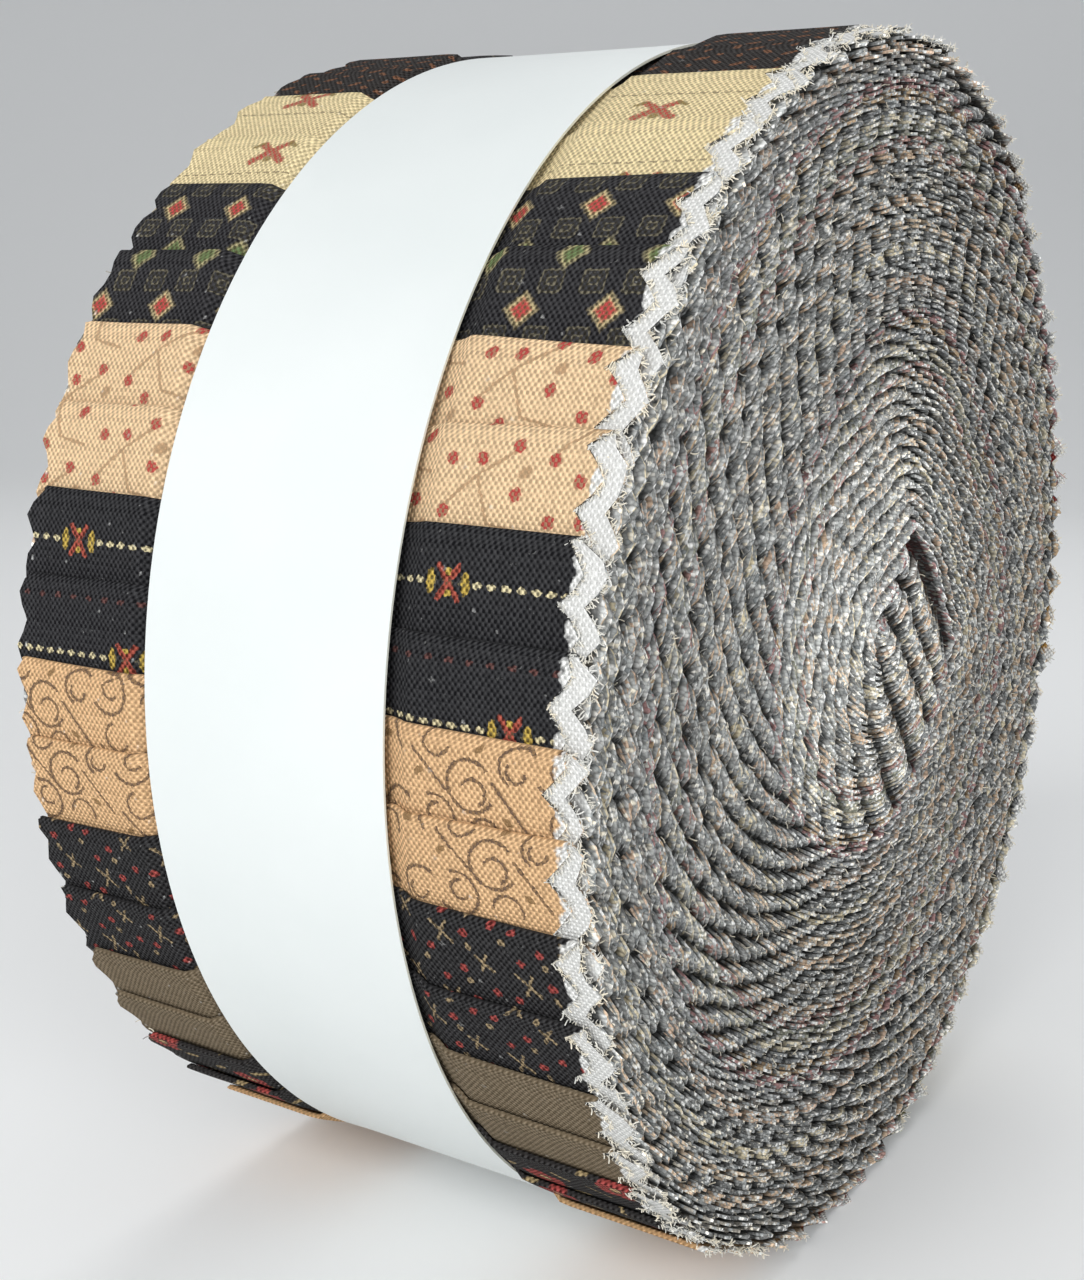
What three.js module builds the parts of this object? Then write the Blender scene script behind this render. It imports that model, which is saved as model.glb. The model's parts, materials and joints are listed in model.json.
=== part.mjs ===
// A roll of precut quilting cotton strips, held wound by a bare paper band.
// Forty folded strips are stacked and wound together, so their free ends lie round the outside
// like the leaves of a shutter, each one over the end above it. The roll lies on its side on a
// small flat spot, its axis along X. Millimetres, +Z up, origin under the middle of the roll.
import * as THREE from 'three';

// Driving dimensions of the roll
const STRIP_WIDTH = 63.5;        // 2.5 inch strips, which is also the roll's width
const ROLL_RADIUS = 65.75;       // mean radius over the free ends
const STRIP_COUNT = 40;
const FOLDED_STRIP = 0.61;       // one strip folded in two: the step at each free end
const FLAT_DEPTH = 0.7;          // how far the roll's own weight flattens its underside
const GAP = 0.3;                 // clearance between neighbouring pieces

// Pinked side edges
const PINK_DEPTH = 2.2;
const TEETH_ON_AN_END = 2;       // a free end shows two teeth of the pinking at each side
const FOLD_ROUNDING = 0.6;       // length over which the fold at a free end rounds off
const FOLD_DROP = 0.45;          // and how far it drops there, as a share of the folded strip

// The paper band and the hollow it presses into the cloth
const BAND_LEFT = -15.7;
const BAND_RIGHT = 12.4;
const BAND_THICKNESS = 1.0;
const BAND_RADIUS = 65.4;        // outer face, just under the cloth beside it
const BAND_LAP = { from: 236, to: 250, rise: 0.25 };   // degrees from the top, and its step
const BAND_CLEARANCE_BELOW = 0.35;
const BAND_STEPS = 90;
const HOLLOW_SLOPE = 2.2;        // width over which the cloth swells up beside the band

// The wound body behind the free ends
const END_SHEET = 1.45;          // least thickness of a free end's sheet
const SHEET_UNDER_BAND = 1.0;
const TURN_WIDTH = STRIP_COUNT * FOLDED_STRIP;
const TURN_GROOVE = 0.9;         // how far the face dips between one turn and the next
const HUB = { proud: 2.2, spread: 21, y: 0.8, z: -2.8 };   // the hub is pushed out towards +X
const FACE_STEPS_ROUND = 64;
const FACE_STEPS_OUT = 12;

// One row for each print, in the order of the free ends, going down the front from the top.
// The two ends are degrees from the top of the roll towards the front.
const PRINTS = [
  { name: 'cream bows', colour: '#d9c79c', ends: [27.5, 36.0] },
  { name: 'diamonds', colour: '#3a3436', ends: [43.2, 51.0] },
  { name: 'peach dots', colour: '#dfb48c', ends: [58.8, 66.0] },
  { name: 'dotted stripes', colour: '#2e2d30', ends: [73.6, 81.3] },
  { name: 'tan scrolls', colour: '#cfa376', ends: [88.4, 95.2] },
  { name: 'black specks', colour: '#2a2627', ends: [102.6, 110.2] },
  { name: 'plain brown', colour: '#75664f', ends: [117.2, 123.6] },
  { name: 'black blossoms', colour: '#352c27', ends: [130.2, 137.2] },
  { name: 'plain tan', colour: '#c9a070', ends: [145.4, 155.2] },
  { name: 'rust checks', colour: '#9a4a2c', ends: [165.2, 175.2] },
  { name: 'olive sprigs', colour: '#6c6a42', ends: [185.4, 195.8] },
  { name: 'cream dots', colour: '#ddcda6', ends: [206.6, 217.2] },
  { name: 'navy stars', colour: '#2c2f3a', ends: [227.6, 238.4] },
  { name: 'gold leaves', colour: '#b98c45', ends: [248.6, 259.2] },
  { name: 'red sprigs', colour: '#93302a', ends: [269.6, 280.0] },
  { name: 'grey ticking', colour: '#77777a', ends: [290.6, 300.8] },
  { name: 'brown leaves', colour: '#5b4634', ends: [311.2, 321.2] },
  { name: 'peach stripes', colour: '#dcb087', ends: [331.6, 341.6] },
  { name: 'black vines', colour: '#2b2829', ends: [351.8, 361.8] },
  { name: 'mottled black', colour: '#4a3527', ends: [371.4, 379.6] },
];

const axisHeight = ROLL_RADIUS - FLAT_DEPTH;
const sheetRadius = ROLL_RADIUS - FOLDED_STRIP / 2 - END_SHEET;
const sheetRadiusUnderBand = BAND_RADIUS - BAND_THICKNESS - GAP - SHEET_UNDER_BAND;
const hollowFrom = BAND_LEFT - GAP - HOLLOW_SLOPE;
const hollowTo = BAND_RIGHT + GAP + HOLLOW_SLOPE;

// The point at an angle from the top towards the front (-Y), at a radius from the roll's axis.
function onRoll(x, degrees, radius) {
  const angle = THREE.MathUtils.degToRad(degrees);
  return new THREE.Vector3(x, -radius * Math.sin(angle), axisHeight + radius * Math.cos(angle));
}

// The same point, kept from reaching lower than a height over the surface the roll lies on.
function onRollAbove(height, x, degrees, radius) {
  const point = onRoll(x, degrees, radius);
  point.z = Math.max(point.z, height);
  return point;
}

// 1 under the band and 0 away from it, with a short slope at each edge.
function pressedByBand(x) {
  const outside = Math.max(BAND_LEFT - GAP - x, x - BAND_RIGHT - GAP, 0);
  return 1 - THREE.MathUtils.smoothstep(outside, 0, HOLLOW_SLOPE);
}

// The skin that joins rows of points, each row a closed section with the same number of points.
function skin(rows, lastJoinsFirst) {
  const around = rows[0].length;
  const faces = [];
  const spans = lastJoinsFirst ? rows.length : rows.length - 1;
  for (let row = 0; row < spans; row += 1) {
    const here = row * around;
    const there = ((row + 1) % rows.length) * around;
    for (let column = 0; column < around; column += 1) {
      const beside = (column + 1) % around;
      faces.push(here + column, here + beside, there + beside);
      faces.push(here + column, there + beside, there + column);
    }
  }
  return { points: rows.flat(), faces };
}

// A closed mesh from points and triangles, turned so that its faces point out.
function closedMesh({ points, faces }, material) {
  let volume = 0;
  for (let face = 0; face < faces.length; face += 3) {
    const [a, b, c] = [points[faces[face]], points[faces[face + 1]], points[faces[face + 2]]];
    volume += a.dot(new THREE.Vector3().crossVectors(b, c));
  }
  const geometry = new THREE.BufferGeometry().setFromPoints(points);
  geometry.setIndex(volume > 0 ? faces : faces.reverse());
  geometry.computeVertexNormals();
  return new THREE.Mesh(geometry, material);
}

function cotton(colour) {
  return new THREE.MeshStandardMaterial({ color: colour, roughness: 0.92, metalness: 0 });
}

// The free end of one strip: a thin sheet from its fold to the fold of the next strip. Its
// outer face falls by one folded strip along the way, because the roll is a spiral.
function freeEnd(start, finish, colour) {
  const length = THREE.MathUtils.degToRad(finish - start) * ROLL_RADIUS - GAP;
  const toothSide = length / (2 * TEETH_ON_AN_END);
  const stations = [{ along: 0, tooth: 0, drop: FOLD_DROP }];
  stations.push({ along: FOLD_ROUNDING, tooth: FOLD_ROUNDING / toothSide, drop: 0 });
  for (let side = 1; side <= 2 * TEETH_ON_AN_END; side += 1) {
    stations.push({ along: side * toothSide, tooth: side % 2, drop: 0 });
  }
  const rows = stations.map(({ along, tooth, drop }) => {
    const edge = STRIP_WIDTH / 2 - PINK_DEPTH * (1 - tooth);
    const across = [-edge, hollowFrom, BAND_LEFT - GAP, BAND_RIGHT + GAP, hollowTo, edge];
    const degrees = start + (finish - start) * along / (length + GAP);
    const topRadius = ROLL_RADIUS + FOLDED_STRIP * (0.5 - along / length - drop);
    const topUnderBand = sheetRadiusUnderBand + SHEET_UNDER_BAND;
    const outer = across.map((x) => onRollAbove(0, x, degrees,
      THREE.MathUtils.lerp(topRadius, topUnderBand, pressedByBand(x))));
    const inner = across.map((x) => onRoll(x, degrees,
      THREE.MathUtils.lerp(sheetRadius, sheetRadiusUnderBand, pressedByBand(x))));
    return [...outer, ...inner.reverse()];
  });
  const { points, faces } = skin(rows, false);
  const around = rows[0].length;
  const lastRow = points.length - around;
  for (let column = 0; column < around / 2 - 1; column += 1) {
    const opposite = around - 1 - column;
    faces.push(opposite, column + 1, column, opposite, opposite - 1, column + 1);
    faces.push(lastRow + column, lastRow + column + 1, lastRow + opposite);
    faces.push(lastRow + column + 1, lastRow + opposite - 1, lastRow + opposite);
  }
  return closedMesh({ points, faces }, cotton(colour));
}

// Where the face of the wound body lies along X. It dips between the turns, which run out in a
// spiral, and the hub is pushed through towards +X.
function faceAt(side, radius, degrees) {
  const angle = THREE.MathUtils.degToRad(degrees);
  const turns = (ROLL_RADIUS - radius) / TURN_WIDTH - degrees / 360;
  const fade = THREE.MathUtils.smoothstep(radius, 0, TURN_WIDTH / 2);
  const groove = TURN_GROOVE * fade * (0.5 + 0.5 * Math.cos(2 * Math.PI * turns));
  const fromHub = Math.hypot(-radius * Math.sin(angle) - HUB.y, radius * Math.cos(angle) - HUB.z);
  const push = HUB.proud * Math.exp(-((fromHub / HUB.spread) ** 2));
  return side * (STRIP_WIDTH / 2 - PINK_DEPTH / 2 - groove) + push;
}

// The wound body: both faces with their turns, and the side that the free ends lie on.
function woundBody() {
  const bodyRadius = sheetRadius - GAP;
  const rings = [];
  for (let ring = 1; ring <= FACE_STEPS_OUT; ring += 1) {
    rings.push({ radius: bodyRadius * ring / FACE_STEPS_OUT, side: 1 });
  }
  for (const x of [hollowTo, BAND_RIGHT + GAP, BAND_LEFT - GAP, hollowFrom]) {
    const radius = THREE.MathUtils.lerp(bodyRadius, sheetRadiusUnderBand - GAP, pressedByBand(x));
    rings.push({ radius, x });
  }
  for (let ring = FACE_STEPS_OUT; ring >= 1; ring -= 1) {
    rings.push({ radius: bodyRadius * ring / FACE_STEPS_OUT, side: -1 });
  }
  const rows = rings.map(({ radius, side, x }) => {
    const row = [];
    for (let step = 0; step < FACE_STEPS_ROUND; step += 1) {
      const degrees = 360 * step / FACE_STEPS_ROUND;
      row.push(onRoll(x ?? faceAt(side, radius, degrees), degrees, radius));
    }
    return row;
  });
  const { points, faces } = skin(rows, false);
  const lastRow = points.length - FACE_STEPS_ROUND;
  const rightHub = points.length;
  const leftHub = rightHub + 1;
  points.push(onRoll(faceAt(1, 0, 0), 0, 0), onRoll(faceAt(-1, 0, 0), 0, 0));
  for (let column = 0; column < FACE_STEPS_ROUND; column += 1) {
    const beside = (column + 1) % FACE_STEPS_ROUND;
    faces.push(rightHub, beside, column);
    faces.push(leftHub, lastRow + column, lastRow + beside);
  }
  return closedMesh({ points, faces }, cotton('#8f8a84'));
}

// The paper band: a ring of constant section with a small step where its end laps over.
function paperBand() {
  const rows = [];
  for (let step = 0; step < BAND_STEPS; step += 1) {
    const degrees = 360 * step / BAND_STEPS;
    const lapped = degrees >= BAND_LAP.from && degrees <= BAND_LAP.to;
    const outerRadius = BAND_RADIUS + (lapped ? BAND_LAP.rise : 0);
    const innerRadius = BAND_RADIUS - BAND_THICKNESS;
    rows.push([
      onRollAbove(BAND_CLEARANCE_BELOW, BAND_LEFT, degrees, outerRadius),
      onRollAbove(BAND_CLEARANCE_BELOW, BAND_RIGHT, degrees, outerRadius),
      onRoll(BAND_RIGHT, degrees, innerRadius),
      onRoll(BAND_LEFT, degrees, innerRadius),
    ]);
  }
  const paper = new THREE.MeshStandardMaterial({ color: '#e3eae8', roughness: 0.45, metalness: 0 });
  return closedMesh(skin(rows, true), paper);
}

const roll = new THREE.Group();

const body = woundBody();
body.name = 'wound_layers';
roll.add(body);

const freeEnds = PRINTS.flatMap(({ colour, ends }) => ends.map((start) => ({ start, colour })));
freeEnds.forEach(({ start, colour }, index) => {
  const finish = freeEnds[index + 1]?.start ?? freeEnds[0].start + 360;
  const sheet = freeEnd(start, finish, colour);
  sheet.name = `strip_${String(index + 1).padStart(2, '0')}`;
  roll.add(sheet);
});

const band = paperBand();
band.name = 'paper_band';
roll.add(band);

// The origin is the middle of the underside, on the surface that the roll lies on.
const extent = new THREE.Box3().setFromObject(roll);
const middle = extent.getCenter(new THREE.Vector3());
roll.position.set(-middle.x, -middle.y, -extent.min.z);

export default roll;
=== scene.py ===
# A roll of forty folded quilting-cotton strips with pinked edges, held wound by a bare paper band.
import json
import math
import bpy
import numpy as np
from mathutils import Matrix, Vector


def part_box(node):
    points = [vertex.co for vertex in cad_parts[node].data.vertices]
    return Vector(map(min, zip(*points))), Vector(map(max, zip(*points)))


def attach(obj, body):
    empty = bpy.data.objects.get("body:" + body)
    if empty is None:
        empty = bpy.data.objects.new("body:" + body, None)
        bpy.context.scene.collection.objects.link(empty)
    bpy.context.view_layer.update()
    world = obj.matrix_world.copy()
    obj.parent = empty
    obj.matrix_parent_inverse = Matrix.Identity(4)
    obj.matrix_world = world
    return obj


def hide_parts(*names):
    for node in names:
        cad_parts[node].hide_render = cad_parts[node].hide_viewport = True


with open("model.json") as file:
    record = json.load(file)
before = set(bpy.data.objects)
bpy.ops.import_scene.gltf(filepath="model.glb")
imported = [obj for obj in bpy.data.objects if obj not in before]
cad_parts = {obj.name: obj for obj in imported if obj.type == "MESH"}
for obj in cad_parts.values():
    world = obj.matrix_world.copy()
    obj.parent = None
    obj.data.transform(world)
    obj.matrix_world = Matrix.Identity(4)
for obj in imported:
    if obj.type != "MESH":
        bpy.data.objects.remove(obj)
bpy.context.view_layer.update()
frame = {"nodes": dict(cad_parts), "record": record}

# The camera
# It stands a hand's width in front of the roll and to its right, a little above its middle, so
# that one of its wound faces shows beside the free ends. It is tipped slightly to one side.
MM = 0.001
CAMERA_PLACE = (98.31, -178.13, 35.34)  # from the middle of the roll, in millimetres
CAMERA_TURN, CAMERA_DIP, CAMERA_TIP = (math.radians(angle) for angle in (31.96, 10.58, 1.58))
CAMERA_LENS = 47.93

wound_low, wound_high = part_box("wound_layers")
strip_low, strip_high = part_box("strip_01")
roll_middle = (wound_low + wound_high) / 2
roll_middle.x = (strip_low.x + strip_high.x) / 2

level = Vector((math.cos(CAMERA_TURN), math.sin(CAMERA_TURN), 0))
ahead = Vector((-math.sin(CAMERA_TURN), math.cos(CAMERA_TURN), -math.tan(CAMERA_DIP))).normalized()
upright = level.cross(ahead)
to_right = math.cos(CAMERA_TIP) * level + math.sin(CAMERA_TIP) * upright
to_top = math.cos(CAMERA_TIP) * upright - math.sin(CAMERA_TIP) * level


def bring_in(name, data):
    """A new object of the scene, at the origin."""
    thing = bpy.data.objects.new(name, data)
    bpy.context.scene.collection.objects.link(thing)
    return thing


camera = bring_in("camera", bpy.data.cameras.new("camera"))
camera.data.lens = CAMERA_LENS
camera.data.clip_start = 0.01
camera.matrix_world = Matrix.Translation(roll_middle + Vector(CAMERA_PLACE) * MM) @ Matrix(
    (to_right, to_top, -ahead)).transposed().to_4x4()
bpy.context.scene.camera = camera

# The cotton strips: how they are wound
# Forty strips, 2.5 inches wide, are each folded in half across their length, right side out, and
# stacked with their cut ends flush. The stack is then wound tightly round those cut ends, which
# show as ribs of pinked teeth at the hub, and the folds end up stepped round the outside.
STRIP_COUNT = 40
ROLL_RADIUS = 65.75  # mean radius over the folds
PLY = 0.305  # one layer's share of the stack, pressed
STACK = 2 * STRIP_COUNT * PLY  # the stack's thickness, and the turn's
FIRST_LEFT = 30  # the strip on the inside of the stack
TURNS_TO_FOLDS = 4  # turns from the cut ends to the folds
LEAN = -42.0  # direction of the cut ends' line, from the back
NOSE_RUN = 12.0  # straight run from the cut ends to the first bend
NOSE_OFFSET = 6.1  # how far the first bend sits from the roll's axis
SLIT = 0.15  # half the gap round the start of the winding
POCKET = 2.1  # room that the first turn leaves at the cut ends


def unit(degrees):
    """The direction at an angle from the back (+Y) towards the top (+Z), seen from +X."""
    turn = np.radians(degrees)
    return np.stack((np.cos(turn), np.sin(turn)), axis=-1)


NOSE = -NOSE_OFFSET * unit(LEAN)
CUT_TOP = NOSE - NOSE_RUN * unit(LEAN - 90)
WRAP_TOP = CUT_TOP - POCKET * unit(LEAN - 90)
WRAP_FOOT = WRAP_TOP + STACK * unit(LEAN)


def wind(depth):
    """The path of a layer at a depth in the stack, from its cut end: length, place, way out, way
    round. The way round is the angle from the top to the front, unwound, and it falls all along."""
    radius, heading = SLIT + depth, LEAN
    places, headings = [CUT_TOP + radius * unit(heading)], [heading]
    for _ in range(TURNS_TO_FOLDS + 1):
        for centre, sweep in ((NOSE, 180), (WRAP_TOP, 90), (WRAP_FOOT, 90)):
            angles = heading - np.arange(0.0, sweep + 1)
            places.extend(centre + radius * unit(angles))
            headings.extend(angles)
            heading -= sweep
        radius += STACK
    places, headings = np.array(places), np.array(headings)
    length = np.concatenate(([0.0], np.cumsum(np.hypot(*np.diff(places, axis=0).T))))
    polar = np.degrees(np.arctan2(places[:, 1], places[:, 0]))
    around = polar + 360 * np.round((headings - polar) / 360) - 90
    return length, places, headings, around


def fold_angle(node):
    """Where a strip's fold lies, in degrees from the top of the roll towards the front."""
    corners = np.array([vertex.co for vertex in frame["nodes"][node].data.vertices])
    angles = np.degrees(np.arctan2(roll_middle.y - corners[:, 1], corners[:, 2] - roll_middle.z))
    middle = angles[0]
    return (middle + min((angles - middle + 180) % 360 - 180)) % 360


strips = [f"strip_{number:02d}" for number in range(1, STRIP_COUNT + 1)]
folds = np.unwrap([fold_angle(node) for node in strips], period=360)
stack_order = [(FIRST_LEFT - 1 + place) % STRIP_COUNT for place in range(STRIP_COUNT)]
wound_folds = np.array([
    folds[index] + (360 if index < FIRST_LEFT - 1 else 0) - 360 * TURNS_TO_FOLDS
    for index in stack_order])

# The winding alone would be a few millimetres out of round, and its tension pulls it true.
TRUE_STEP = 5
true_angles = np.arange(wound_folds[0], wound_folds[0] + 360, TRUE_STEP)
steps_up = np.append(wound_folds, wound_folds[0] + 360)
outer_radii = []
for angle in true_angles:
    layers_below = np.interp(angle, steps_up, np.arange(STRIP_COUNT + 1))
    _, places, _, around = wind((2 * layers_below + 1) * PLY)
    last = around < -360
    outer_radii.append(np.interp(-angle, -around[last], np.hypot(*places[last].T)))

# How the cloth lies once it is wound: the hub stands out to the right, the band presses a hollow,
# and the underside is flattened by the roll's own weight.
HUB_PROUD, HUB_SPREAD, HUB_MIDDLE = 2.2, 21.0, (0.8, -2.8)
BAND_LEFT, BAND_RIGHT = -15.7, 12.4  # the paper band's edges, from the roll's middle
HOLLOW_DEPTH, HOLLOW_SLOPE, HOLLOW_REACH = 1.1, 2.6, 7.0
FLAT_SOFTNESS = 0.35
OUT_OF_ROUND = ((3, 0.16, 40.0), (5, 0.13, 200.0), (8, 0.08, 75.0))  # waves, height, phase


def ramp(value):
    """0 to 1 with a soft start and end."""
    value = np.clip(value, 0, 1)
    return value * value * (3 - 2 * value)


def under_band(x):
    """1 under the paper band and 0 away from it."""
    outside = np.maximum(np.maximum(BAND_LEFT - x, x - BAND_RIGHT), 0)
    return 1 - ramp(outside / HOLLOW_SLOPE)


def lay(x, y, z):
    """Points in millimetres from the roll's axis, set down in metres on the floor."""
    height = (z + roll_middle.z / MM) / FLAT_SOFTNESS
    height = FLAT_SOFTNESS * np.logaddexp(0, height)
    return np.stack((x * MM + roll_middle.x, y * MM + roll_middle.y, height * MM), axis=-1)


def settle(points, around):
    """Moves points of the plain winding to where they lie once it is pulled true and tied."""
    x, y, z = points.T
    true = ROLL_RADIUS / np.interp(around, true_angles, outer_radii, period=360)
    waves = sum(height * np.sin(np.radians(count * around + phase))
                for count, height, phase in OUT_OF_ROUND)
    radius = np.hypot(y, z) * true
    depth = np.clip((ROLL_RADIUS - radius) / HOLLOW_REACH, 0, 1)
    pressed = HOLLOW_DEPTH * under_band(x) * (1 - depth)
    scale = true * (1 + (waves * radius / ROLL_RADIUS - pressed) / np.maximum(radius, 1))
    y, z = y * scale, z * scale
    hub = np.hypot(y - HUB_MIDDLE[0], z - HUB_MIDDLE[1]) / HUB_SPREAD
    return lay(x + HUB_PROUD * np.exp(-hub ** 2), y, z)


# The cotton strips: cutting and folding one strip
# The side edges are cut in teeth with pinking shears. The two halves of a folded strip never lie
# quite square on each other, so the under half's teeth stand out at the right edge.
STRIP_WIDTH, STRIP_LENGTH = 63.5, 1118.0
CLOTH, FLUFFED = 0.25, 0.292  # thickness of the cotton, and of its cut edges
BEND_STEP = 12.0  # degrees between stations in the tight bends
TIGHT_BENDS = 6.0  # depth in the stack to which bends need them
FOLD_STATIONS = (-60.0, -25.0, 25.0, 60.0)  # degrees round the fold
TOOTH_PITCH, TOOTH_DEPTH = 5.0, 2.2
TOOTH_SHAPE = (0.0, 0.6, 1.0, 0.6)  # from one notch to the next, in four steps
FELTED_DEPTH, FELTED_SHAPE = 1.9, (0.0, 0.76, 1.0, 0.72)  # where fluff fills the buried notches
FELTED_FROM, FELTED_TO = 10.0, 40.0  # how far from the fold that sets in
LEFT_SHARE = 0.52  # the left teeth are bent in, so they show less
TOOTH_UNEVEN, RAVELLED = (0.26, 0.16), (0.26, 0.4)  # left and right, and on the under half's end
SLIP = 0.21  # share of a turn's extra length that is stretched
DRIFT, DRIFT_FROM, DRIFT_TO = 1.3, 60.0, 330.0  # how far teeth creep out of step, and where
DRIFT_END = 30.0  # how far from the fold they fall back into step
UNDER_HALF_OUT, OUT_TURN = (1.5, 2.4), 4.0  # how far the under half stands out, over what run
OUT_LOST, OUT_REACH = 0.8, 60.0  # share of it that is lost again, and over what length
UNDER_NOTCH = 0.75  # what its fluffed notches keep of their depth
STRIP_ASKEW = 0.22  # how far one strip lies off its neighbours
CREEP, CREEP_RUN = 0.15, 60.0  # how far its edge wanders, and over what length
FOLD_SLANT = 0.45  # how far a fold wanders from square across the strip
SLANT_WAVE, SLANT_PHASE = 6.0, 9.0  # and how it waves there, in radians
FOLD_LIFT, FOLD_LIFT_REACH = (0.066, 0.22), 3.5  # how far it stands off the strip under it
CUT_END_UNEVEN = 0.6
CUT_ENDS_OUT, OUT_FROM, OUT_TO = 2.0, 5.0, 13.0  # deeper ends stand out into the pocket
SHOWN_RUN = 50.0  # from the fold back to where the cloth is buried
FRINGE_RUN = 14.0  # and to where its edge is ravelled into a fringe
HOLLOW_COLUMNS = (-27.0, -22.5, -19.2, -17.9, -16.8, BAND_LEFT,
                  BAND_RIGHT, 13.5, 14.6, 15.9, 20.0, 25.0)  # where the hollow bends the cloth

chance = np.random.default_rng(40)
cut_edges = {"right": [], "left": [], "rim": []}  # the faces that frayed threads grow on


def half_strip(depth, place_in_stack, creep):
    """One half of a strip as rows of stations from the cut end to the fold. Both halves share
    their teeth, so these are set out along the middle of the strip."""
    length, places, headings, around = wind(depth)
    last = headings < LEAN - 360
    end = np.interp(-wound_folds[place_in_stack], -around[last], length[last])
    middle = (2 * place_in_stack + 1) * PLY
    along = length - (depth - middle + SLIP * middle) * np.radians(LEAN - headings)
    steps = np.arange(0, np.interp(end - PLY, length, along), TOOTH_PITCH / len(TOOTH_SHAPE))
    stations = np.interp(steps, along, length)
    if depth < TIGHT_BENDS:
        bends = np.interp(-np.arange(LEAN - 360, LEAN, BEND_STEP)[::-1], -headings, length)
        apart = np.abs(bends[:, None] - stations[None]).min(axis=1)
        stations = np.sort(np.concatenate((stations, bends[apart > PLY])))
    stations = np.append(stations, end - PLY)
    phase = (np.interp(stations, length, along) / TOOTH_PITCH) % 1
    felted = ramp((end - stations - FELTED_FROM) / (FELTED_TO - FELTED_FROM))
    notch = 0
    for share, deep, tooth in ((1 - felted, TOOTH_DEPTH, TOOTH_SHAPE),
                               (felted, FELTED_DEPTH, FELTED_SHAPE)):
        tooth = np.interp(phase, np.linspace(0, 1, len(tooth) + 1), tooth + tooth[:1])
        notch = notch + share * deep * (1 - tooth)
    creep = creep * ramp((stations - DRIFT_FROM) / (DRIFT_TO - DRIFT_FROM))
    stations = stations + creep * (1 - ramp((stations - end + DRIFT_END) / DRIFT_END))
    stations[0] -= chance.uniform(0, CUT_END_UNEVEN)
    stations[0] -= CUT_ENDS_OUT * ramp((depth - OUT_FROM) / (OUT_TO - OUT_FROM))
    place = np.stack([np.interp(stations, length, column) for column in places.T], axis=-1)
    place[0] += min(stations[0], 0) * unit(LEAN - 90)
    out = unit(np.interp(stations, length, headings))
    return {
        "place": place, "out": out, "away": out,
        "around": np.interp(stations, length, around),
        "notch": np.stack((notch * (LEFT_SHARE + (1 - LEFT_SHARE) * felted), notch), axis=-1),
        "to_fold": end - stations,
    }


def strip_rows(place_in_stack):
    """A whole strip's midline: its under half out to the fold, the fold, and its upper half back."""
    creep = chance.uniform(-DRIFT, DRIFT)
    under, upper = (half_strip((2 * place_in_stack + share) * PLY, place_in_stack, creep)
                    for share in (0.5, 1.5))
    under["notch"][:, 1] *= UNDER_NOTCH
    middle = (under["place"][-1] + upper["place"][-1]) / 2
    out = upper["place"][-1] - under["place"][-1]
    radius = np.hypot(*out) / 2
    out = out / (2 * radius)
    onward = np.array((out[1], -out[0]))
    swing = np.radians(FOLD_STATIONS)
    bow = onward * np.cos(swing)[:, None] + out * np.sin(swing)[:, None]
    fold = {
        "place": middle + radius * bow,
        "out": -bow,
        "away": np.tile(out, (len(swing), 1)),
        "around": np.full(len(swing), under["around"][-1]),
        "notch": np.tile((under["notch"][-1] + upper["notch"][-1]) / 2, (len(swing), 1)),
        "below_fold": np.linspace(-PLY, PLY, len(swing)) / 2,
    }
    under["below_fold"], upper["below_fold"] = -under["to_fold"], upper["to_fold"]
    upper["out"] = -upper["out"]
    return {name: np.concatenate((under[name], fold[name], upper[name][::-1])) for name in fold}


def closed_mesh(name, points, faces, sides):
    """A mesh shaded smooth between its sharp edges, with the number of each face's finish."""
    mesh = bpy.data.meshes.new(name)
    mesh.from_pydata(points, [], faces)
    mesh.polygons.foreach_set("material_index", sides)
    mesh.polygons.foreach_set("use_smooth", [True] * len(faces))
    mesh.set_sharp_from_angle(angle=math.radians(45))
    return mesh


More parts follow.
